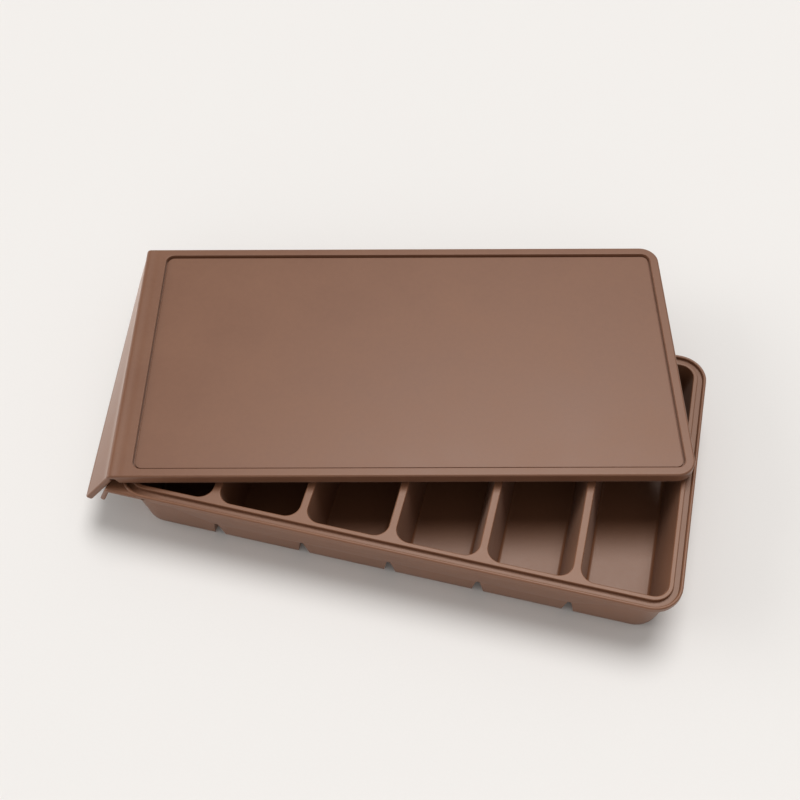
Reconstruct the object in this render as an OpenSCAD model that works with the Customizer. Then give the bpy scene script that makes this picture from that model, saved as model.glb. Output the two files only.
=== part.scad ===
// Freezer tray for baby food with a loose lid, both moulded in soft rubber.
// Frame: X along the row of cups, Y across the tray, Z up. The origin is on the
// table, in the middle of a cup's foot: the middle cup, or in an even row the next
// cup in +X from the middle. The lid lies turned on the rim.

/* [Tray] */

// Distance from one cup to the next
cup_pitch = 40; // [37:1:44]
// Number of cups in the row
cup_count = 6; // [4:1:8]
// Length of each cup across the tray, at the top
cup_length = 124; // [112:2:136]
// Thickness of the dividers between the cups, at the top
divider_top = 3.4; // [2.8:0.2:4.6]
// Height of the rim above the table
tray_height = 30; // [27:1:36]
// Thickness of the cup floors
floor_wall = 2.2; // [1.6:0.2:3.2]
// Lean of the cup walls, sideways over height
cup_draft = 0.155; // [0.145:0.005:0.175]
// Corner radius of the cups at the floor
cup_corner = 2.2; // [1.8:0.2:3.4]
// Fillet between cup wall and cup floor
cup_fillet = 1.5; // [0.8:0.1:1.8]
// Wall between a cup and the channel beside it
cup_wall = 3.5; // [3.1:0.1:3.9]
// Radius of the rounded top of each channel
channel_tip = 0.9; // [0.6:0.1:1.2]
// Rounding of the channel edges at the table
channel_round = 1.2; // [0.6:0.1:1.4]

/* [Outer wall] */

// Thickness of the outer wall under the rim
outer_wall = 4.9; // [4:0.1:5.4]
// Lean of the outer wall, sideways over height
wall_draft = 0.16; // [0.13:0.01:0.17]
// Corner radius of the outer wall at the table
wall_corner = 11.5; // [9:0.5:12.5]
// Rounding of the outer wall at the table
wall_round = 3; // [1.5:0.5:4]

/* [Rim] */

// Width of the flat land around the cups
land_width = 2; // [1.4:0.1:3]
// Width of the sealing groove outside the land
groove_width = 2.6; // [2.2:0.1:3.4]
// Depth of the sealing groove
groove_depth = 1.8; // [1.2:0.1:2.2]
// Width of the rounded lip outside the groove
lip_width = 1.5; // [1.2:0.1:2.4]
// Step from the land down to the top of the lip
lip_drop = 0.2; // [0.1:0.1:0.4]
// Depth of the rim's outer edge below the land
rim_depth = 3.2; // [2.8:0.1:4]
// Corner radius of the rim's outer edge
rim_corner = 13; // [11:0.5:16]
// Rounding of the rim's lower edge
rim_round = 0.4; // [0.2:0.1:0.6]

/* [Tray tab] */

// Distance from the rim's outer edge to the fold of the tray tab
crease_reach = 3; // [2.2:0.1:4]
// Length of the tray tab beyond its fold
tray_tab_length = 10.5; // [8:0.5:14]
// Thickness of the tray tab
tray_tab_thick = 2.2; // [1.8:0.1:2.6]
// Slope of the tray tab below level, in degrees
tray_tab_droop = 62; // [56:1:75]

/* [Lid] */

// Thickness of the lid's edge
lid_thick = 5.6; // [4.6:0.1:6.4]
// Depth of the panel below the lid's border
panel_recess = 1.2; // [0.6:0.1:1.8]
// Border around the panel on three sides
panel_border = 4.3; // [3:0.1:6]
// Border between the panel and the fold
fold_border = 8.7; // [6:0.1:12]
// Corner radius of the panel
panel_corner = 4; // [2:0.5:6]
// Radius of the lid's two corners away from the fold
lid_corner = 8.8; // [6:0.2:11]
// Height of the sealing ridge under the lid
ridge_height = 1.6; // [1:0.1:1.7]
// Side clearance of the ridge in the groove
ridge_gap = 0.3; // [0.2:0.05:0.5]
// Distance of the lid's fold beyond the tray's fold when closed
fold_overhang = 5.2; // [4:0.1:9]

/* [Lid tab] */

// Length of the lid tab beyond its fold
lid_tab_length = 22.5; // [16:0.5:28]
// Thickness of the lid tab
lid_tab_thick = 3; // [2.4:0.1:3.4]
// Slope of the lid tab below level at its front end, in degrees
droop_front = 51.5; // [46:0.5:60]
// Slope of the lid tab below level at its back end, in degrees
droop_back = 69; // [60:1:75]

/* [Rest position] */

// Turn of the lid on the tray, in degrees
lid_turn = 14; // [10:1:18]
// Distance of the lid's front corner behind the front of the rim
lid_setback = 2.6; // [1:0.2:6]
// Clearance around the fold of each tab
fold_gap = 0.3; // [0.2:0.05:0.4]
// Clearance between the lid tab and the tray's fold
tab_gap = 0.4; // [0.3:0.1:1]

/* [Hidden] */

$fn = 64;
eps = 0.01;

cocoa = [0.47, 0.34, 0.28];
cocoa_light = [0.54, 0.40, 0.34];
cocoa_tab = [0.58, 0.44, 0.37];
cocoa_dark = [0.40, 0.28, 0.22];

// Cups
cup_top = cup_pitch - divider_top;
cup_depth = tray_height - floor_wall;
cup_floor_x = cup_top / 2 - cup_draft * cup_depth;
cup_floor_y = cup_length / 2 - cup_draft * cup_depth;
row_x = (cup_count * cup_pitch - divider_top) / 2;
row_y = cup_length / 2;

// Sizes are worked out round the middle of the row, and the row then moves to the origin
row_shift = cup_count % 2 == 0 ? -cup_pitch / 2 : 0;

// Channels between the cups follow the cup walls
channel_foot = divider_top / 2 + cup_draft * tray_height - cup_wall;
channel_slope = sqrt(1 + cup_draft * cup_draft);
channel_rise = (channel_foot - channel_tip * channel_slope) / cup_draft;

// Rim outlines, from the cups outward
land_x = row_x + land_width;
land_y = row_y + land_width;
rim_out = groove_width + lip_width;
rim_x = land_x + rim_out;
rim_y = land_y + rim_out;
land_corner = rim_corner - rim_out;

// Outer wall at the table
wall_top = tray_height - rim_depth;
foot_x = row_x + outer_wall - wall_draft * wall_top;
foot_y = row_y + outer_wall - wall_draft * wall_top;

// Fold of the tray tab
crease_x = -rim_x - crease_reach;
crease_z = tray_height - rim_depth + tray_tab_thick / 2;

// Lid, drawn as if closed on the tray, with its underside at height zero
fold_x = crease_x - fold_overhang;
fold_z = lid_thick - lid_tab_thick / 2;
lid_rest_z = tray_height + ridge_height;
ridge_x = land_x + ridge_gap;
ridge_y = land_y + ridge_gap;
ridge_corner = land_corner + ridge_gap;
ridge_width = groove_width - 2 * ridge_gap;

// The lid tab leans on the fold of the tray
lean = lid_tab_thick / 2 + tray_tab_thick / 2 + tab_gap;
fold_above = lid_rest_z + fold_z - crease_z;
lean_x = (fold_above * cos(droop_front) - lean) / sin(droop_front);
corner_x = crease_x + lean_x * cos(lid_turn);
corner_y = -rim_y + lid_setback;

// Sections of the twisted lid tab
tab_sections = 12;
tab_arc = 8;

// Half width of a leaning wall's rounded foot, measured to the arc's centre
function foot_centre(half, lean_by, r) =
    half + lean_by * r - r * sqrt(1 + lean_by * lean_by);

// Side view of a leaning block, from a corner's axis out to half, with a rounded foot
module leaning_half(half, high, lean_by, r) {
    k = sqrt(1 + lean_by * lean_by);
    c = foot_centre(half, lean_by, r);
    polygon([
        [0, 0],
        [c, 0],
        [c + r / k, r - r * lean_by / k],
        [half + lean_by * high, high],
        [0, high]
    ]);
    translate([c, r])
        intersection() {
            circle(r);
            translate([0, -r])
                square([r, 2 * r]);
        }
}

// Block with leaning walls, rounded corners and a rounded foot
module leaning_box(hx, hy, corner, high, lean_by, r) {
    sx = hx - corner;
    sy = hy - corner;
    translate([-sx, -sy, 0])
        cube([2 * sx, 2 * sy, high]);
    for (turn = [0, 180])
        rotate(turn)
            translate([sx, 0, 0])
                rotate([90, 0, 0])
                    linear_extrude(2 * sy, center = true)
                        leaning_half(corner, high, lean_by, r);
    for (turn = [90, 270])
        rotate(turn)
            translate([sy, 0, 0])
                rotate([90, 0, 0])
                    linear_extrude(2 * sx, center = true)
                        leaning_half(corner, high, lean_by, r);
    corners = [[sx, sy, 0], [-sx, sy, 90], [-sx, -sy, 180], [sx, -sy, 270]];
    for (c = corners)
        translate([c[0], c[1], 0])
            rotate(c[2])
                rotate_extrude(angle = 90)
                    leaning_half(corner, high, lean_by, r);
}

// Puts what is drawn round the middle of the row at the part's origin
module row_place() {
    translate([row_shift, 0, 0])
        children();
}

// Rectangle with rounded corners
module round_rect(hx, hy, r) {
    square([2 * (hx - r), 2 * hy], center = true);
    square([2 * hx, 2 * (hy - r)], center = true);
    for (sx = [-1, 1], sy = [-1, 1])
        translate([sx * (hx - r), sy * (hy - r)])
            circle(r);
}

// Side of the rim from inside the land out to the lip, down from the land
module rim_profile() {
    r = lip_width / 2;
    polygon([
        [-1, -rim_depth],
        [rim_out - rim_round, -rim_depth],
        [rim_out, -rim_depth + rim_round],
        [rim_out, -lip_drop - r],
        [groove_width, -lip_drop - r],
        [groove_width, -groove_depth],
        [-1, -groove_depth]
    ]);
    translate([rim_out - r, -lip_drop - r])
        circle(r);
    translate([rim_out - rim_round, -rim_depth + rim_round])
        circle(rim_round);
}

// The rim's side carried round the land's outline
module rim_ring() {
    sx = land_x - land_corner;
    sy = land_y - land_corner;
    for (turn = [0, 180])
        rotate(turn)
            translate([land_x, 0, tray_height])
                rotate([90, 0, 0])
                    linear_extrude(2 * sy, center = true)
                        rim_profile();
    for (turn = [90, 270])
        rotate(turn)
            translate([land_y, 0, tray_height])
                rotate([90, 0, 0])
                    linear_extrude(2 * sx, center = true)
                        rim_profile();
    corners = [[sx, sy, 0], [-sx, sy, 90], [-sx, -sy, 180], [sx, -sy, 270]];
    for (c = corners)
        translate([c[0], c[1], tray_height])
            rotate(c[2])
                rotate_extrude(angle = 90)
                    translate([land_corner, 0])
                        rim_profile();
}

// Side view of the channel between two cups
module channel_profile() {
    k = channel_slope;
    r = channel_round;
    edge = channel_foot - cup_draft * r + r * k;
    tip_x = channel_tip / k;
    tip_z = channel_rise + channel_tip * cup_draft / k;
    difference() {
        union() {
            polygon([
                [-channel_foot, 0],
                [channel_foot, 0],
                [tip_x, tip_z],
                [-tip_x, tip_z]
            ]);
            translate([0, channel_rise])
                circle(channel_tip);
            translate([-edge, -1])
                square([2 * edge, 1 + r * (1 - cup_draft / k)]);
        }
        for (side = [-1, 1])
            translate([side * edge, r])
                circle(r);
    }
}

// Plate from the rim out to the fold of the tray tab
module crease_plate() {
    root = tray_tab_thick / 2 + fold_gap;
    difference() {
        translate([crease_x, -rim_y, wall_top])
            cube([rim_corner + crease_reach, 2 * rim_y, tray_tab_thick]);
        translate([0, 0, wall_top - 1])
            linear_extrude(rim_depth + 2)
                round_rect(rim_x - lip_width / 2, rim_y - lip_width / 2, rim_corner - lip_width / 2);
        translate([crease_x, 0, crease_z])
            rotate([90, 0, 0])
                cylinder(h = 2 * rim_y + 2, r = root, center = true);
        translate([crease_x - 1, -rim_y - 1, wall_top - 1])
            cube([root + 1, 2 * rim_y + 2, tray_tab_thick / 2 + 1]);
    }
}

module cups() {
    for (i = [0 : cup_count - 1])
        translate([(i - (cup_count - 1) / 2) * cup_pitch, 0, floor_wall])
            leaning_box(cup_floor_x, cup_floor_y, cup_corner, cup_depth + 1, cup_draft, cup_fillet);
}

module channels() {
    for (i = [1 : cup_count - 1])
        translate([(i - cup_count / 2) * cup_pitch, 0, 0])
            rotate([90, 0, 0])
                linear_extrude(2 * rim_y, center = true)
                    channel_profile();
}

// Row of cups with its rim, sealing groove and outer wall
module tray() {
    color(cocoa)
        row_place()
            difference() {
                union() {
                    leaning_box(foot_x, foot_y, wall_corner, wall_top + eps, wall_draft, wall_round);
                    translate([0, 0, wall_top])
                        linear_extrude(rim_depth)
                            round_rect(land_x, land_y, land_corner);
                    rim_ring();
                    crease_plate();
                }
                cups();
                channels();
            }
}

// Sloping flap along the left end of the tray
module tray_tab() {
    r = tray_tab_thick / 2;
    color(cocoa_dark)
        translate([row_shift + crease_x, 0, crease_z])
            rotate([0, -tray_tab_droop, 0])
                rotate([90, 0, 0])
                    linear_extrude(2 * rim_y, center = true) {
                        circle(r);
                        translate([-tray_tab_length + r, -r])
                            square([tray_tab_length - r, 2 * r]);
                        translate([-tray_tab_length + r, 0])
                            circle(r);
                    }
}

// Puts what is drawn on the closed tray where the lid lies in the photograph
module lid_place() {
    translate([row_shift + corner_x, corner_y, lid_rest_z])
        rotate(lid_turn)
            translate([-fold_x, rim_y, 0])
                children();
}

// Outline of the lid: two wide corners away from the fold
module lid_outline() {
    translate([fold_x, -rim_y])
        square([rim_x - fold_x - lid_corner, 2 * rim_y]);
    translate([fold_x, -rim_y + lid_corner])
        square([rim_x - fold_x, 2 * (rim_y - lid_corner)]);
    for (side = [-1, 1])
        translate([rim_x - lid_corner, side * (rim_y - lid_corner)])
            circle(lid_corner);
}

// Sunk panel of the lid
module panel_outline() {
    x0 = fold_x + fold_border;
    x1 = rim_x - panel_border;
    translate([(x0 + x1) / 2, 0])
        round_rect((x1 - x0) / 2, rim_y - panel_border, panel_corner);
}

// Ridge that seals in the groove of the tray when the lid is closed
module ridge() {
    difference() {
        round_rect(ridge_x + ridge_width, ridge_y + ridge_width, ridge_corner + ridge_width);
        round_rect(ridge_x, ridge_y, ridge_corner);
    }
}

// Flat lid with a sunk panel and a sealing ridge
module lid() {
    root = lid_tab_thick / 2 + fold_gap;
    color(cocoa_light)
        lid_place()
            difference() {
                union() {
                    linear_extrude(lid_thick)
                        lid_outline();
                    translate([0, 0, -ridge_height])
                        linear_extrude(ridge_height + eps)
                            ridge();
                }
                translate([0, 0, lid_thick - panel_recess])
                    linear_extrude(panel_recess + 1)
                        panel_outline();
                translate([fold_x, 0, fold_z])
                    rotate([90, 0, 0])
                        cylinder(h = 2 * rim_y + 2, r = root, center = true);
                translate([fold_x - 1, -rim_y - 1, -1])
                    cube([root + 1, 2 * rim_y + 2, fold_z + 1]);
            }
}

// Points of one section of the lid tab, sloping down by droop degrees
function tab_section(y, droop) = [
    for (i = [0 : 2 * tab_arc + 1])
        let (tip = i > tab_arc)
        let (a = tip ? 90 + 180 * (i - tab_arc - 1) / tab_arc : -90 + 180 * i / tab_arc)
        let (r = lid_tab_thick / 2)
        let (px = r * cos(a) - (tip ? lid_tab_length - r : 0))
        let (pz = r * sin(a))
        [
            fold_x + px * cos(droop) - pz * sin(droop),
            y,
            fold_z + px * sin(droop) + pz * cos(droop)
        ]
];

function droop_at(s) = droop_front + (droop_back - droop_front) * s;

// Twisted flap along the fold of the lid
module lid_tab() {
    ring = 2 * tab_arc + 2;
    points = [
        for (j = [0 : tab_sections])
            each tab_section(-rim_y + 2 * rim_y * j / tab_sections, droop_at(j / tab_sections))
    ];
    sides = [
        for (j = [0 : tab_sections - 1], i = [0 : ring - 1])
            let (n = (i + 1) % ring)
            let (a = j * ring + i)
            let (b = j * ring + n)
            let (c = a + ring)
            let (d = b + ring)
            each [[a, b, d], [a, d, c]]
    ];
    ends = [
        for (i = [1 : ring - 2])
            each [[0, i + 1, i], [tab_sections * ring, tab_sections * ring + i, tab_sections * ring + i + 1]]
    ];
    color(cocoa_tab)
        lid_place()
            polyhedron(points = points, faces = concat(sides, ends), convexity = 4);
}

tray();
tray_tab();
lid();
lid_tab();
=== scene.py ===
"""Looks of a freezer tray for baby food and its loose lid, both moulded in silicone.

Lengths in the classes are millimetres, with X along the row of cups, Y across the
tray and Z up. They are measured from the middle of the row, on the table, and each
finished piece then moves to the CAD model's origin, which is under the fourth cup.
"""

import logging
from collections.abc import Callable, Iterable
from dataclasses import dataclass
from enum import Enum
from math import atan2, cos, pi, radians, sin, sqrt, tan

import bmesh
import bpy
from mathutils import Matrix, Vector


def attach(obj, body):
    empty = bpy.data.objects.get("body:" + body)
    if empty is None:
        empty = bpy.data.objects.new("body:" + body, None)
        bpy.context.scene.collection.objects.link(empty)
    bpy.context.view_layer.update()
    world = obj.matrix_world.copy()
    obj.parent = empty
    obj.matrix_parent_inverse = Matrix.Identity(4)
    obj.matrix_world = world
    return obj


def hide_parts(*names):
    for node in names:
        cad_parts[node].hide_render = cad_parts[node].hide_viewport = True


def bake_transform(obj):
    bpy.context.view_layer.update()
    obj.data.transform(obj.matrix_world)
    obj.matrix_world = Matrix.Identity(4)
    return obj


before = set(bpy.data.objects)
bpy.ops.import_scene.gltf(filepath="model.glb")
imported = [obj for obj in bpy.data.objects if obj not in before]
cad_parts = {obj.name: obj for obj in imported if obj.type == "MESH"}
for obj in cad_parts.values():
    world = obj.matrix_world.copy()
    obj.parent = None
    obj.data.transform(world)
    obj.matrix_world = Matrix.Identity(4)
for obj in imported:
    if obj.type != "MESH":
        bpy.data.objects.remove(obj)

log = logging.getLogger("freezer_tray")
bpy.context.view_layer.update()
MM = 0.001
ROW_SHIFT = -20.0


def spot_in_model(x: float, y: float, z: float) -> Vector:
    """Turns a spot measured from the middle of the row into metres from the model's origin."""
    return Vector((x + ROW_SHIFT, y, z)) * MM


class Body(Enum):
    """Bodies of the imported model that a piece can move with."""

    TRAY = "tray"
    TRAY_TAB = "tray_tab"
    LID = "lid"
    LID_TAB = "lid_tab"


def linear_colour(sheet: str) -> tuple[float, float, float, float]:
    """Turns an sRGB hex value into linear light.

    Args:
        sheet: six hex digits, such as "8a6352".

    Returns:
        Red, green, blue and an alpha of 1.
    """
    parts = []
    for start in (0, 2, 4):
        value = int(sheet[start : start + 2], 16) / 255
        parts.append(value / 12.92 if value <= 0.04045 else ((value + 0.055) / 1.055) ** 2.4)
    return (parts[0], parts[1], parts[2], 1.0)


def add_node(
    tree: bpy.types.NodeTree, kind: str, settings: dict | None = None, inputs: dict | None = None
) -> bpy.types.Node:
    """Adds one shader node, with its settings and its inputs or links.

    Args:
        tree: the node tree to add to.
        kind: the node's type name.
        settings: attributes of the node.
        inputs: input name or index to a value, or to the socket that feeds it.

    Returns:
        The new node.
    """
    node = tree.nodes.new(kind)
    for key, value in (settings or {}).items():
        setattr(node, key, value)
    for key, value in (inputs or {}).items():
        if isinstance(value, bpy.types.NodeSocket):
            tree.links.new(value, node.inputs[key])
        else:
            node.inputs[key].default_value = value
    return node


@dataclass(frozen=True)
class MouldedSilicone:
    """Platinum-cured silicone from a blasted steel mould: soft, opaque, satin matt.

    To the eye it has one even colour, a broad soft highlight, a pale bloom where the
    light grazes it, and a very fine mould grain that only breaks up the highlight.
    """

    name: str
    colour: str
    deep: str
    roughness: float = 0.38
    roughness_swing: float = 0.04
    index: float = 1.5
    surface_tint: tuple[float, float, float, float] = (1.0, 0.85, 0.76, 1.0)
    sheen: float = 0.08
    sheen_roughness: float = 0.35
    sheen_tint: tuple[float, float, float, float] = (1.0, 0.8, 0.7, 1.0)
    grain_mm: float = 0.9
    grain_height_mm: float = 0.02
    cloud_mm: float = 38.0
    speckle_mm: float = 2.2
    speckle_share: float = 0.35

    def build(self) -> bpy.types.Material:
        """Makes the material."""
        material = bpy.data.materials.new(self.name)
        material.use_nodes = True
        tree = material.node_tree
        tree.nodes.clear()
        place = add_node(tree, "ShaderNodeTexCoord").outputs["Object"]
        # Handling and dust leave broad, barely visible clouds, a few centimetres wide.
        clouds = add_node(
            tree,
            "ShaderNodeTexNoise",
            inputs={"Vector": place, "Scale": 1 / (self.cloud_mm * MM), "Detail": 3.0, "Roughness": 0.55},
        )
        speckle = add_node(
            tree,
            "ShaderNodeTexNoise",
            inputs={"Vector": place, "Scale": 1 / (self.speckle_mm * MM), "Detail": 2.0, "Roughness": 0.6},
        )
        both = add_node(
            tree,
            "ShaderNodeMix",
            {"data_type": "FLOAT"},
            {0: self.speckle_share, 2: clouds.outputs["Fac"], 3: speckle.outputs["Fac"]},
        )
        spread = add_node(
            tree,
            "ShaderNodeMapRange",
            inputs={"Value": both.outputs[0], "From Min": 0.3, "From Max": 0.7, "To Min": 0.0, "To Max": 1.0},
        )
        tint = add_node(
            tree,
            "ShaderNodeMix",
            {"data_type": "RGBA"},
            {0: spread.outputs["Result"], 6: linear_colour(self.deep), 7: linear_colour(self.colour)},
        )
        rough = add_node(
            tree,
            "ShaderNodeMapRange",
            inputs={
                "Value": both.outputs[0],
                "From Min": 0.3,
                "From Max": 0.7,
                "To Min": self.roughness - self.roughness_swing,
                "To Max": self.roughness + self.roughness_swing,
            },
        )
        # The blasted mould's grain is about 0.1 mm. It is drawn coarser, so that it shows at this size.
        grain = add_node(
            tree,
            "ShaderNodeTexNoise",
            inputs={"Vector": place, "Scale": 1 / (self.grain_mm * MM), "Detail": 4.0, "Roughness": 0.65},
        )
        bump = add_node(
            tree,
            "ShaderNodeBump",
            inputs={"Strength": 1.0, "Distance": self.grain_height_mm * MM, "Height": grain.outputs["Fac"]},
        )
        shader = add_node(
            tree,
            "ShaderNodeBsdfPrincipled",
            inputs={
                "Base Color": tint.outputs[2],
                "Roughness": rough.outputs["Result"],
                "Normal": bump.outputs["Normal"],
                "IOR": self.index,
                "Specular Tint": self.surface_tint,
                "Sheen Weight": self.sheen,
                "Sheen Roughness": self.sheen_roughness,
                "Sheen Tint": self.sheen_tint,
            },
        )
        add_node(tree, "ShaderNodeOutputMaterial", inputs={"Surface": shader.outputs["BSDF"]})
        return material


@dataclass(frozen=True)
class Bend:
    """A corner of a side view: how far out it lies, how high, and its rounding."""

    out: float
    up: float
    radius: float = 0.0


def side_path(corners: list[Bend], steps: int = 5, hold: float = 0.15) -> list[tuple[float, float]]:
    """Rounds the corners of a side view.

    A point is kept close to each end of a rounding, so that the flats stay flat.

    Args:
        corners: the corners in order.
        steps: spans in each rounding.
        hold: distance of the kept point from the rounding.

    Returns:
        The points of the rounded side view, as (out, up).
    """
    path = [(corners[0].out, corners[0].up)]
    for before, here, after in zip(corners, corners[1:], corners[2:]):
        spot = Vector((here.out, here.up))
        back = (Vector((before.out, before.up)) - spot).normalized()
        ahead = (Vector((after.out, after.up)) - spot).normalized()
        if here.radius <= 0:
            path.append((spot.x, spot.y))
            continue
        half = back.angle(ahead) / 2
        reach = here.radius / tan(half)
        centre = spot + (back + ahead).normalized() * (here.radius / sin(half))
        first = spot + back * reach
        last = spot + ahead * reach
        start = first - centre
        turn = start.angle_signed(last - centre)
        path.append(tuple(first + back * hold))
        for step in range(steps + 1):
            arm = start.copy()
            arm.rotate(Matrix.Rotation(-turn * step / steps, 2))
            path.append(tuple(centre + arm))
        path.append(tuple(last + ahead * hold))
    path.append((corners[-1].out, corners[-1].up))
    return path


@dataclass(frozen=True)
class Outline:
    """A rectangle with rounded corners, seen from above."""

    half_x: float
    half_y: float
    corner: float
    steps: int = 9
    centre_x: float = 0.0

    def spots(self, out: float) -> list[tuple[float, float]]:
        """Points round the outline, moved outward by out."""
        found = []
        for quarter in range(4):
            sx = (1, -1, -1, 1)[quarter]
            sy = (1, 1, -1, -1)[quarter]
            for step in range(self.steps + 1):
                angle = (quarter + step / self.steps) * pi / 2
                reach = self.corner + out
                found.append(
                    (
                        self.centre_x + sx * (self.half_x - self.corner) + reach * cos(angle),
                        sy * (self.half_y - self.corner) + reach * sin(angle),
                    )
                )
        return found


class Sweep:
    """Carries a side view round an outline by extruding a ring of edges."""

    def __init__(self, bm: bmesh.types.BMesh) -> None:
        """Starts on a mesh.

        Args:
            bm: the mesh that the rings are added to.
        """
        self.bm = bm
        self.order = bm.verts.layers.int.get("order") or bm.verts.layers.int.new("order")
        self.ring: list[bmesh.types.BMEdge] = []
        self.first: list[bmesh.types.BMEdge] = []

    def start(self, spots: list[tuple[float, float]], up: float) -> None:
        """Lays the first ring."""
        verts = [self.bm.verts.new((x, y, up)) for x, y in spots]
        for count, vert in enumerate(verts):
            vert[self.order] = count
        self.ring = [self.bm.edges.new((a, b)) for a, b in zip(verts, verts[1:] + verts[:1])]
        self.first = list(self.ring)

    def pull(self, spots: list[tuple[float, float]], up: float) -> None:
        """Extrudes the last ring to new spots."""
        made = bmesh.ops.extrude_edge_only(self.bm, edges=self.ring)["geom"]
        verts = [item for item in made if isinstance(item, bmesh.types.BMVert)]
        for vert in verts:
            x, y = spots[vert[self.order]]
            vert.co = Vector((x, y, up))
        fresh = set(verts)
        self.ring = [
            item
            for item in made
            if isinstance(item, bmesh.types.BMEdge) and item.verts[0] in fresh and item.verts[1] in fresh
        ]

    def carry(self, outline: Outline, path: list[tuple[float, float]], base: float = 0.0) -> None:
        """Carries a whole side view round an outline, going on from the last ring if there is one."""
        for count, (out, up) in enumerate(path):
            if count == 0 and not self.ring:
                self.start(outline.spots(out), base + up)
            else:
                self.pull(outline.spots(out), base + up)

    def close(self) -> None:
        """Fills the last ring with one flat face."""
        bmesh.ops.edgeloop_fill(self.bm, edges=self.ring)


def finish_piece(
    name: str, bm: bmesh.types.BMesh, material: bpy.types.Material, sharp_deg: float = 48.0
) -> bpy.types.Object:
    """Turns a mesh in millimetres into an object in metres, smooth but for its sharp edges.

    Args:
        name: name of the object and its mesh.
        bm: the mesh, which is freed.
        material: its finish.
        sharp_deg: edges that turn more than this stay sharp.

    Returns:
        The object, at the origin.
    """
    bmesh.ops.translate(bm, vec=(ROW_SHIFT, 0, 0), verts=bm.verts)
    bmesh.ops.scale(bm, vec=(MM, MM, MM), verts=bm.verts)
    mesh = bpy.data.meshes.new(name)
    bm.to_mesh(mesh)
    bm.free()
    mesh.shade_smooth()
    mesh.set_sharp_from_angle(angle=radians(sharp_deg))
    mesh.materials.clear()
    mesh.materials.append(material)
    piece = bpy.data.objects.new(name, mesh)
    bpy.context.scene.collection.objects.link(piece)
    return piece


def cut_away(bm: bmesh.types.BMesh, cutter: bmesh.types.BMesh) -> bmesh.types.BMesh:
    """Cuts one closed mesh from another.

    Args:
        bm: the mesh to cut, which is freed.
        cutter: what is cut away, which is freed.

    Returns:
        The cut mesh.
    """
    pair = []
    for label, part in (("blank", bm), ("cutter", cutter)):
        mesh = bpy.data.meshes.new(label)
        part.to_mesh(mesh)
        part.free()
        item = bpy.data.objects.new(label, mesh)
        bpy.context.scene.collection.objects.link(item)
        pair.append(item)
    blank, tool = pair
    cut = blank.modifiers.new("cut", "BOOLEAN")
    cut.operation = "DIFFERENCE"
    cut.solver = "EXACT"
    cut.object = tool
    bpy.context.view_layer.update()
    shown = blank.evaluated_get(bpy.context.evaluated_depsgraph_get())
    result = bmesh.new()
    result.from_mesh(shown.data)
    for item in pair:
        mesh = item.data
        bpy.data.objects.remove(item)
        bpy.data.meshes.remove(mesh)
    return result


@dataclass(frozen=True)
class SharedSizes:
    """Sizes of the row of cups and of the rim, which tray, tab and lid all follow."""

    pitch: float = 40.0
    count: int = 6
    divider: float = 3.4
    cup_length: float = 124.0
    height: float = 30.0
    land: float = 2.0
    groove: float = 2.6
    lip: float = 1.5
    rim_depth: float = 3.2
    rim_corner: float = 13.0
    ridge_height: float = 1.6
    tab_thick: float = 2.2
    crease_reach: float = 3.0

    @property
    def cup_half_x(self) -> float:
        """Half of a cup's mouth along the row."""
        return (self.pitch - self.divider) / 2

    @property
    def row_x(self) -> float:
        """Half of the row of cups along the row."""
        return (self.count * self.pitch - self.divider) / 2

    @property
    def row_y(self) -> float:
        """Half of a cup's mouth across the tray."""
        return self.cup_length / 2

    @property
    def rim_out(self) -> float:
        """Width of groove and lip."""
        return self.groove + self.lip

    @property
    def rim_x(self) -> float:
        """Half of the rim along the row."""
        return self.row_x + self.land + self.rim_out

    @property
    def rim_y(self) -> float:
        """Half of the rim across the tray."""
        return self.row_y + self.land + self.rim_out

    @property
    def crease_x(self) -> float:
        """X of the fold of the tray's tab."""
        return -self.rim_x - self.crease_reach

    @property
    def crease_z(self) -> float:
        """Height of the fold of the tray's tab."""
        return self.height - self.rim_depth + self.tab_thick / 2

    def land_outline(self) -> Outline:
        """The outer edge of the land, where the groove begins."""
        return Outline(self.row_x + self.land, self.row_y + self.land, self.rim_corner - self.rim_out)

    def rim_outline(self, inset: float) -> Outline:
        """The rim's outer edge, moved inward."""
        return Outline(self.rim_x - inset, self.rim_y - inset, self.rim_corner - inset)


def bend(
    bm: bmesh.types.BMesh, fold_x: float, fold_z: float, half_width: float, droop: Callable[[float], float]
) -> None:
    """Bends what lies beyond a fold down about the fold's axis, along Y.

    Args:
        bm: the mesh, with the part to bend on the side of lower X.
        fold_x: X of the axis.
        fold_z: height of the axis.
        half_width: half the width of the rounded fold.
        droop: degrees below level at a given Y.
    """
    for vert in bm.verts:
        ahead = fold_x - vert.co.x
        share = min(1.0, max(0.0, (ahead + half_width / 3) / (2 * half_width)))
        if share == 0.0:
            continue
        share = share * share * (3 - 2 * share)
        angle = radians(droop(vert.co.y)) * share
        x = vert.co.x - fold_x
        z = vert.co.z - fold_z
        vert.co.x = fold_x + x * cos(angle) - z * sin(angle)
        # What lies just inside the axis would tip up, so it keeps below the flat face.
        vert.co.z = min(fold_z + x * sin(angle) + z * cos(angle), max(fold_z + z, fold_z))


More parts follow.
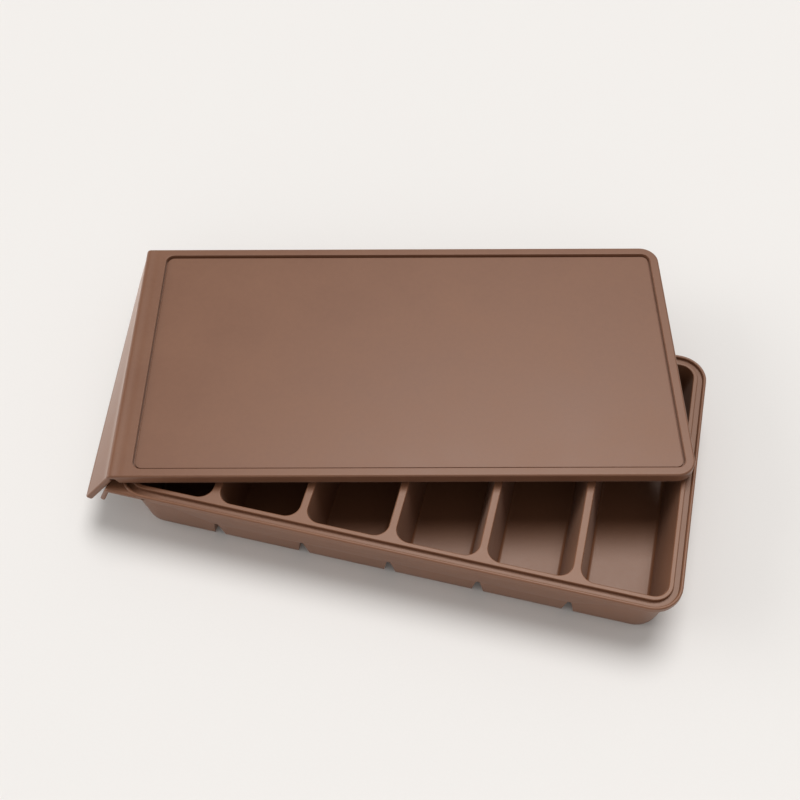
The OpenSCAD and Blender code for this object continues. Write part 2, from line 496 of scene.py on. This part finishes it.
@dataclass
class CupTray:
    """The tray: a row of six cups, a grooved rim, an outer wall and channels below."""

    shared: SharedSizes
    floor: float = 2.2
    floor_round: float = 1.6
    cup_lean: float = 0.155
    cup_corner: float = 6.51
    mouth_round: float = 0.5
    groove_depth: float = 1.8
    groove_round: float = 0.3
    land_round: float = 0.35
    lip_drop: float = 0.2
    lip_round: float = 0.65
    rim_under: float = 0.62
    rim_round: float = 0.4
    outer_wall: float = 4.9
    wall_lean: float = 0.16
    wall_top_round: float = 0.3
    foot_round: float = 3.0
    foot_corner: float = 11.5
    foot_flat: float = 6.0
    channel_foot: float = 2.85
    channel_rise: float = 12.51
    channel_tip: float = 0.9
    channel_round: float = 1.2
    channel_reach: float = 75.0
    channel_steps: int = 6
    channel_edge_round: float = 0.35

    def rim_path(self) -> list[tuple[float, float]]:
        """The rim's side view, from the land over groove and lip to its underside."""
        shared = self.shared
        bottom = -shared.rim_depth
        return side_path(
            [
                Bend(-0.8, 0),
                Bend(0, 0, self.land_round),
                Bend(0, -self.groove_depth, self.groove_round),
                Bend(shared.groove, -self.groove_depth, self.groove_round),
                Bend(shared.groove, -self.lip_drop, self.lip_round),
                Bend(shared.rim_out, -self.lip_drop, self.lip_round),
                Bend(shared.rim_out, bottom, self.rim_round),
                Bend(shared.rim_out - self.rim_under, bottom),
            ],
            hold=0.06,
        )

    def skin(self) -> bmesh.types.BMesh:
        """Makes the closed skin of rim, wall, foot and cups, without the channels."""
        bm = bmesh.new()
        shared = self.shared
        shell = Sweep(bm)
        shell.carry(shared.land_outline(), self.rim_path(), shared.height)
        wall_top = shared.height - shared.rim_depth
        spread = self.wall_lean * wall_top
        foot_in = self.outer_wall - spread
        wall = Outline(shared.row_x + foot_in, shared.row_y + foot_in, self.foot_corner)
        shell.carry(
            wall,
            side_path(
                [
                    Bend(spread + 0.5, wall_top),
                    Bend(spread, wall_top, self.wall_top_round),
                    Bend(0, 0, self.foot_round),
                    Bend(-self.foot_flat, 0),
                ],
                steps=7,
                hold=0.1,
            ),
        )
        shell.close()
        open_rings = list(shell.first)
        inward = self.cup_lean * (shared.height - self.floor)
        cup_path = side_path(
            [
                Bend(0.8, shared.height),
                Bend(0, shared.height, self.mouth_round),
                Bend(-inward, self.floor, self.floor_round),
                Bend(-inward - 1.9, self.floor),
            ],
            steps=6,
            hold=0.1,
        )
        for number in range(shared.count):
            middle = (number - (shared.count - 1) / 2) * shared.pitch
            hollow = Sweep(bm)
            hollow.carry(
                Outline(shared.cup_half_x, shared.row_y, self.cup_corner, centre_x=middle),
                cup_path,
            )
            hollow.close()
            open_rings += hollow.first
        bmesh.ops.triangle_fill(bm, use_beauty=True, use_dissolve=False, edges=open_rings, normal=(0, 0, 1))
        bmesh.ops.recalc_face_normals(bm, faces=bm.faces)
        return bm

    def channel_cutter(self) -> bmesh.types.BMesh:
        """Makes the five prisms that are cut from the underside."""
        bm = bmesh.new()
        r = self.channel_round
        k = sqrt(1 + self.cup_lean**2)
        edge = self.channel_foot - self.cup_lean * r + r * k
        side = []
        lean = atan2(self.cup_lean, 1)
        for step in range(self.channel_steps + 1):
            angle = -pi / 2 - (pi / 2 - lean) * step / self.channel_steps
            side.append((edge + r * cos(angle), r + r * sin(angle)))
        for step in range(self.channel_steps + 1):
            angle = lean + (pi / 2 - lean) * step / self.channel_steps
            side.append((self.channel_tip * cos(angle), self.channel_rise + self.channel_tip * sin(angle)))
        half = [(edge, -1.0)] + side
        mirrored = [(-x, z) for x, z in reversed(half[:-1])]
        for number in range(1, self.shared.count):
            middle = (number - self.shared.count / 2) * self.shared.pitch
            verts = [bm.verts.new((middle + x, -self.channel_reach, z)) for x, z in half + mirrored]
            face = bm.faces.new(verts)
            far = bmesh.ops.extrude_face_region(bm, geom=[face])["geom"]
            moved = [item for item in far if isinstance(item, bmesh.types.BMVert)]
            bmesh.ops.translate(bm, vec=(0, 2 * self.channel_reach, 0), verts=moved)
        bmesh.ops.recalc_face_normals(bm, faces=bm.faces)
        return bm

    def soften_mouths(self, bm: bmesh.types.BMesh) -> None:
        """Rounds the edges where the channels come out of the long walls."""

        def in_channel(face: bmesh.types.BMFace) -> bool:
            ys = [vert.co.y for vert in face.verts]
            low = face.calc_center_median().z < self.channel_rise + 1.5
            return max(ys) - min(ys) > 100 and low and face.normal.z < 0.999

        rims = []
        for edge in bm.edges:
            if len(edge.link_faces) != 2:
                continue
            inside = [in_channel(face) for face in edge.link_faces]
            if inside[0] != inside[1] and edge.calc_face_angle(0.0) > radians(40):
                rims.append(edge)
        bmesh.ops.bevel(
            bm,
            geom=rims,
            offset=self.channel_edge_round,
            offset_type="OFFSET",
            segments=3,
            profile=0.5,
            affect="EDGES",
            clamp_overlap=True,
            material=-1,
        )

    def build(self, material: bpy.types.Material) -> bpy.types.Object:
        """Builds the tray and lets it ride on the tray's body."""
        bm = cut_away(self.skin(), self.channel_cutter())
        bmesh.ops.remove_doubles(bm, verts=bm.verts, dist=0.0005)
        self.soften_mouths(bm)
        piece = finish_piece("cup_tray", bm, material)
        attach(piece, Body.TRAY.value)
        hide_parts("tray")
        return piece


@dataclass
class RimFlap:
    """The plate outside the left end of the rim and the short tab that slopes from it."""

    shared: SharedSizes
    start_x: float = -110.0
    length: float = 10.5
    droop_deg: float = 62.0
    corner_round: float = 1.6
    edge_round: float = 0.75
    lip_overlap: float = 0.75
    fold_half_width: float = 1.4
    fold_cut_gap: float = 0.28

    def build(self, material: bpy.types.Material) -> bpy.types.Object:
        """Builds plate and tab as one flat strip, cuts it free of the rim and bends it."""
        bm = bmesh.new()
        crease_x = self.shared.crease_x
        crease_z = self.shared.crease_z
        tip = crease_x - self.length
        middle = ((self.start_x + tip) / 2, 0, crease_z)
        bmesh.ops.create_cube(bm, size=1.0, matrix=Matrix.Translation(middle))
        bmesh.ops.scale(
            bm,
            vec=(self.start_x - tip, 2 * self.shared.rim_y, self.shared.tab_thick),
            space=Matrix.Translation(Vector(middle)).inverted(),
            verts=bm.verts,
        )
        upright = [
            edge
            for edge in bm.edges
            if abs(edge.verts[0].co.z - edge.verts[1].co.z) > 1 and edge.verts[0].co.x < tip + 1
        ]
        bmesh.ops.bevel(
            bm,
            geom=upright,
            offset=self.corner_round,
            segments=6,
            profile=0.5,
            affect="EDGES",
            clamp_overlap=True,
            material=-1,
        )
        rim = [e for e in bm.edges if e.calc_face_angle(0.0) > radians(60) and e.calc_length() > 0.1]
        rim = [e for e in rim if abs(e.verts[0].co.z - e.verts[1].co.z) < 0.1]
        rim = [e for e in rim if min(v.co.x for v in e.verts) < self.start_x - 1]
        bmesh.ops.bevel(
            bm,
            geom=rim,
            offset=self.edge_round,
            segments=4,
            profile=0.5,
            affect="EDGES",
            clamp_overlap=True,
            material=-1,
        )
        hole = bmesh.new()
        well = Sweep(hole)
        well.carry(self.shared.rim_outline(self.lip_overlap), [(0, crease_z - 8), (0, crease_z + 6)])
        well.close()
        bmesh.ops.edgeloop_fill(hole, edges=well.first)
        bmesh.ops.recalc_face_normals(hole, faces=hole.faces)
        bmesh.ops.recalc_face_normals(bm, faces=bm.faces)
        bm = cut_away(bm, hole)
        for step in range(-5, 6):
            bmesh.ops.bisect_plane(
                bm,
                geom=bm.verts[:] + bm.edges[:] + bm.faces[:],
                plane_co=(crease_x + step * self.fold_cut_gap, 0, 0),
                plane_no=(1, 0, 0),
            )
        bend(bm, crease_x, crease_z, self.fold_half_width, lambda _y: self.droop_deg)
        piece = finish_piece("rim_flap", bm, material)
        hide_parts("tray_tab")
        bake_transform(piece)
        return piece


@dataclass
class FlatLid:
    """The lid and its long tab, one moulding that bends along the fold.

    It is built flat, as if closed on the tray, then the tab is bent down and the
    whole lid is laid turned on the rim.
    """

    shared: SharedSizes
    corner: float = 8.8
    thick: float = 5.6
    edge_round: float = 0.9
    fold_overhang: float = 5.2
    fold_half_width: float = 1.5
    tab_thick: float = 3.0
    tab_length: float = 22.5
    tab_corner: float = 1.8
    droop_front: float = 51.5
    droop_back: float = 69.0
    recess: float = 1.2
    border: float = 4.3
    fold_border: float = 8.7
    panel_corner: float = 4.0
    trench: float = 0.8
    ridge_gap: float = 0.3
    step_start: float = 1.7
    step_end: float = 3.1
    hollow_reach: float = 1.9
    hollow_skin: float = 0.25
    line_in: float = 2.0
    line_width: float = 0.6
    line_depth: float = 0.9
    line_half: float = 59.5
    furrow_in: float = 3.0
    furrow_width: float = 2.6
    furrow_depth: float = 0.07
    cut_gap: float = 0.35
    cross_gap: float = 7.375
    turn_deg: float = 14.0
    setback: float = 2.6
    tab_gap: float = 0.4

    @property
    def fold_x(self) -> float:
        """X of the fold's axis, before the lid is turned."""
        return self.shared.crease_x - self.fold_overhang

    @property
    def fold_z(self) -> float:
        """Height of the fold's axis above the lid's underside."""
        return self.thick - self.tab_thick / 2

    @property
    def tip_x(self) -> float:
        """X of the tab's outer edge, while the lid is flat."""
        return self.fold_x - self.tab_length

    def place(self) -> Matrix:
        """Finds how the lid lies: turned, on its ridge, with its tab's front end on the tray's fold."""
        rest_z = self.shared.height + self.shared.ridge_height
        above = rest_z + self.fold_z - self.shared.crease_z
        apart = self.tab_thick / 2 + self.shared.tab_thick / 2 + self.tab_gap
        droop = radians(self.droop_front)
        turn = radians(self.turn_deg)
        beside = (above * cos(droop) - apart) / sin(droop)
        corner = (self.shared.crease_x + beside * cos(turn), self.setback - self.shared.rim_y, rest_z)
        return (
            Matrix.Translation(corner)
            @ Matrix.Rotation(turn, 4, "Z")
            @ Matrix.Translation((-self.fold_x, self.shared.rim_y, 0))
        )

    def spots(self, out: float, steps: int = 12) -> list[tuple[float, float]]:
        """Points round the flat blank, moved outward by out."""
        found = []
        for quarter in range(4):
            radius = self.corner if quarter in (0, 3) else self.tab_corner
            edge_x = self.shared.rim_x - radius if quarter in (0, 3) else self.tip_x + radius
            edge_y = (1, 1, -1, -1)[quarter] * (self.shared.rim_y - radius)
            for step in range(steps + 1):
                angle = (quarter + step / steps) * pi / 2
                found.append((edge_x + (radius + out) * cos(angle), edge_y + (radius + out) * sin(angle)))
        return found

    def blank(self) -> bmesh.types.BMesh:
        """Makes the flat blank, with its panel, its ridge and one thickness all over."""
        bm = bmesh.new()
        top = self.thick
        under = top - self.tab_thick
        edge = Sweep(bm)
        path = side_path(
            [
                Bend(-1.5, top),
                Bend(0, top, self.edge_round),
                Bend(0, under, self.edge_round),
                Bend(-1.5, under),
            ],
            steps=6,
            hold=0.08,
        )
        for count, (out, up) in enumerate(path):
            if count == 0:
                edge.start(self.spots(out), up)
            else:
                edge.pull(self.spots(out), up)
        left = self.fold_x + self.fold_border
        right = self.shared.rim_x - self.border
        panel = Outline(
            (right - left) / 2,
            self.shared.rim_y - self.border,
            self.panel_corner,
            centre_x=(left + right) / 2,
        )
        sunk = top - self.recess
        well = Sweep(bm)
        well.carry(
            panel,
            side_path(
                [
                    Bend(0.9, top),
                    Bend(0, top, 0.35),
                    Bend(-0.15, sunk - self.trench, 0.1),
                    Bend(-0.7, sunk - self.trench, 0.1),
                    Bend(-0.9, sunk, 0.15),
                    Bend(-2.4, sunk),
                ],
                hold=0.08,
            ),
        )
        well.close()
        bmesh.ops.triangle_fill(
            bm, use_beauty=True, use_dissolve=False, edges=edge.first + well.first, normal=(0, 0, 1)
        )
        outer = self.shared.rim_outline(self.shared.lip + self.ridge_gap)
        width = self.shared.groove - 2 * self.ridge_gap
        foot = under - self.shared.ridge_height
        ridge = Sweep(bm)
        ridge.carry(
            outer,
            side_path(
                [
                    Bend(0.5, under),
                    Bend(0, under, 0.25),
                    Bend(0, foot, 0.5),
                    Bend(-width, foot, 0.5),
                    Bend(-width, under, 0.25),
                    Bend(-width - 0.5, under),
                ],
                hold=0.05,
            ),
        )
        ridge.close()
        bmesh.ops.triangle_fill(
            bm, use_beauty=True, use_dissolve=False, edges=edge.ring + ridge.first, normal=(0, 0, -1)
        )
        bmesh.ops.recalc_face_normals(bm, faces=bm.faces)
        return bm

    def rule(self, bm: bmesh.types.BMesh) -> None:
        """Cuts lines across the blank where it is to bend."""
        cuts = [self.fold_x + step * self.cut_gap for step in range(-6, 7)]
        cuts += [self.fold_x + step * 0.6 for step in range(4, 11)]
        cuts += [self.fold_x - 6.0, self.fold_x - 12.0]
        line = self.tip_x + self.line_in
        cuts += [line + side * self.line_width / 2 for side in (-1.6, -1, 0, 1, 1.6)]
        for x in cuts:
            bmesh.ops.bisect_plane(
                bm, geom=bm.verts[:] + bm.edges[:] + bm.faces[:], plane_co=(x, 0, 0), plane_no=(1, 0, 0)
            )
        for step in range(-8, 9):
            beyond = [face for face in bm.faces if face.calc_center_median().x < self.fold_x + 6.1]
            edges = {edge for face in beyond for edge in face.edges}
            verts = {vert for face in beyond for vert in face.verts}
            bmesh.ops.bisect_plane(
                bm,
                geom=list(verts) + list(edges) + beyond,
                plane_co=(0, step * self.cross_gap, 0),
                plane_no=(0, 1, 0),
            )

    def thicken(self, bm: bmesh.types.BMesh) -> None:
        """Draws the underside down to the lid's thickness, and thins the fold."""
        for vert in bm.verts:
            if vert.co.z > self.fold_z - 0.55:
                continue
            beside = vert.co.x - self.fold_x
            share = min(1.0, max(0.0, (beside - self.step_start) / (self.step_end - self.step_start)))
            vert.co.z -= share * (self.thick - self.tab_thick)
            near = max(0.0, 1.0 - abs(beside + 0.2) / self.hollow_reach)
            if near > 0 and vert.co.z < self.fold_z:
                vert.co.z += min(1.0, near * 1.6) * (self.fold_z - self.hollow_skin - vert.co.z)

    def score(self, bm: bmesh.types.BMesh) -> None:
        """Presses the thin line into the tab's outer edge, and a shallow furrow beside the fold."""
        line = self.tip_x + self.line_in
        for vert in bm.verts:
            if vert.co.z < self.thick - 0.02:
                continue
            if abs(vert.co.x - line) < 0.05 and abs(vert.co.y) < self.line_half:
                vert.co.z -= self.line_depth
            beside = (vert.co.x - self.fold_x - self.furrow_in) / self.furrow_width
            if abs(beside) < 1:
                vert.co.z -= self.furrow_depth * (1 - beside * beside) ** 2

    def build(self, material: bpy.types.Material) -> bpy.types.Object:
        """Builds, bends and lays the lid, which bends into its tab."""
        bm = self.blank()
        self.rule(bm)
        self.thicken(bm)
        self.score(bm)
        rim_y = self.shared.rim_y
        share = (self.droop_back - self.droop_front) / (2 * rim_y)
        bend(
            bm,
            self.fold_x,
            self.fold_z,
            self.fold_half_width,
            lambda y: self.droop_front + share * (y + rim_y),
        )
        place = self.place()
        bmesh.ops.transform(bm, matrix=place, verts=bm.verts)
        piece = finish_piece("lid_moulding", bm, material)
        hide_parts("lid", "lid_tab")
        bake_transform(piece)
        return piece


@dataclass(frozen=True)
class BroadLight:
    """A far, soft light, which comes from one side of the sky and is some degrees wide."""

    name: str
    strength: float
    width_deg: float
    height_deg: float
    side_deg: float

    def hang(self) -> None:
        """Puts the light in the scene. Its side counts from +Y towards +X."""
        data = bpy.data.lights.new(self.name, "SUN")
        data.energy = self.strength
        data.angle = radians(self.width_deg)
        lamp = bpy.data.objects.new(self.name, data)
        side = radians(self.side_deg)
        rise = radians(self.height_deg)
        toward = Vector((sin(side) * cos(rise), cos(side) * cos(rise), sin(rise)))
        lamp.rotation_euler = toward.to_track_quat("Z", "Y").to_euler()
        bpy.context.scene.collection.objects.link(lamp)


@dataclass
class Studio:
    """A pale ground sheet, an even room, three broad lights and the photograph's camera."""

    target: tuple[float, float, float] = (-18.7, 31.1, 0.0)
    azimuth_deg: float = 14.37
    elevation_deg: float = 54.04
    roll_deg: float = -0.47
    distance: float = 553.1
    focal_px: float = 1106.3
    picture_px: float = 800.0
    film_mm: float = 36.0
    sheet_side: float = 12000.0
    room_strength: float = 0.385
    room_colour: tuple[float, float, float, float] = (1.0, 0.985, 0.965, 1.0)
    broad_lights: tuple[BroadLight, ...] = (
        BroadLight("softbox_above", 1.98, 34.0, 70.0, 4.0),
        BroadLight("panel_left", 1.45, 50.0, 14.0, -97.0),
        BroadLight("fill_front", 0.3, 60.0, 20.0, 172.0),
    )

    def floor(self) -> bpy.types.Object:
        """Lays the ground sheet."""
        bm = bmesh.new()
        bmesh.ops.create_grid(bm, x_segments=8, y_segments=8, size=self.sheet_side / 2)
        material = bpy.data.materials.new("paper_sweep_matt")
        material.use_nodes = True
        tree = material.node_tree
        tree.nodes.clear()
        # Matt background paper: bare, faintly warm, with a fibre texture too fine to see.
        place = add_node(tree, "ShaderNodeTexCoord").outputs["Object"]
        fibre = add_node(tree, "ShaderNodeTexNoise", inputs={"Vector": place, "Scale": 900.0, "Detail": 2.0})
        tint = add_node(
            tree,
            "ShaderNodeMix",
            {"data_type": "RGBA"},
            {0: fibre.outputs["Fac"], 6: linear_colour("e6e3e0"), 7: linear_colour("e8e5e2")},
        )
        shader = add_node(
            tree,
            "ShaderNodeBsdfPrincipled",
            inputs={"Base Color": tint.outputs[2], "Roughness": 0.9, "Specular IOR Level": 0.1},
        )
        add_node(tree, "ShaderNodeOutputMaterial", inputs={"Surface": shader.outputs["BSDF"]})
        sheet = finish_piece("ground_sheet", bm, material)
        return sheet

    def lights(self) -> None:
        """Sets the room's even light and hangs the broad lights."""
        scene = bpy.context.scene
        scene.view_settings.view_transform = "Standard"
        world = bpy.data.worlds.new("studio_room")
        world.use_nodes = True
        room = world.node_tree.nodes["Background"].inputs
        room["Color"].default_value = self.room_colour
        room["Strength"].default_value = self.room_strength
        scene.world = world
        for light in self.broad_lights:
            light.hang()

    def camera(self) -> None:
        """Sets the camera that was fitted to the photograph."""
        data = bpy.data.cameras.new("photo_camera")
        data.sensor_fit = "HORIZONTAL"
        data.sensor_width = self.film_mm
        data.lens = self.focal_px * self.film_mm / self.picture_px
        data.clip_start = 0.02
        data.clip_end = 40.0
        data.dof.use_dof = False
        az = radians(self.azimuth_deg)
        el = radians(self.elevation_deg)
        forward = Vector((-sin(az) * cos(el), cos(az) * cos(el), -sin(el)))
        place = spot_in_model(*(Vector(self.target) - forward * self.distance))
        turn = forward.to_track_quat("-Z", "Y").to_matrix().to_4x4()
        camera = bpy.data.objects.new("photo_camera", data)
        camera.matrix_world = (
            Matrix.Translation(place) @ turn @ Matrix.Rotation(radians(self.roll_deg), 4, "Z")
        )
        bpy.context.scene.collection.objects.link(camera)
        bpy.context.scene.camera = camera


def report(pieces: Iterable[bpy.types.Object]) -> None:
    """Logs each piece's faces and size.

    Args:
        pieces: the finished pieces.
    """
    for piece in pieces:
        size = piece.dimensions / MM
        log.info("%s: %d faces, %.1f x %.1f x %.1f mm", piece.name, len(piece.data.polygons), *size)


def main() -> None:
    """Builds the studio and the object."""
    logging.basicConfig(level=logging.INFO, format="%(message)s")
    studio = Studio()
    studio.camera()
    studio.lights()
    studio.floor()
    tray_finish = MouldedSilicone("silicone_moulded_cocoa_tray", "79513a", "734c36").build()
    lid_finish = MouldedSilicone("silicone_moulded_cocoa_lid", "77503a", "704a36", sheen=0.32).build()
    shared = SharedSizes()
    pieces = [
        CupTray(shared).build(tray_finish),
        RimFlap(shared).build(tray_finish),
        FlatLid(shared).build(lid_finish),
    ]
    report(pieces)


if __name__ == "__main__":
    main()
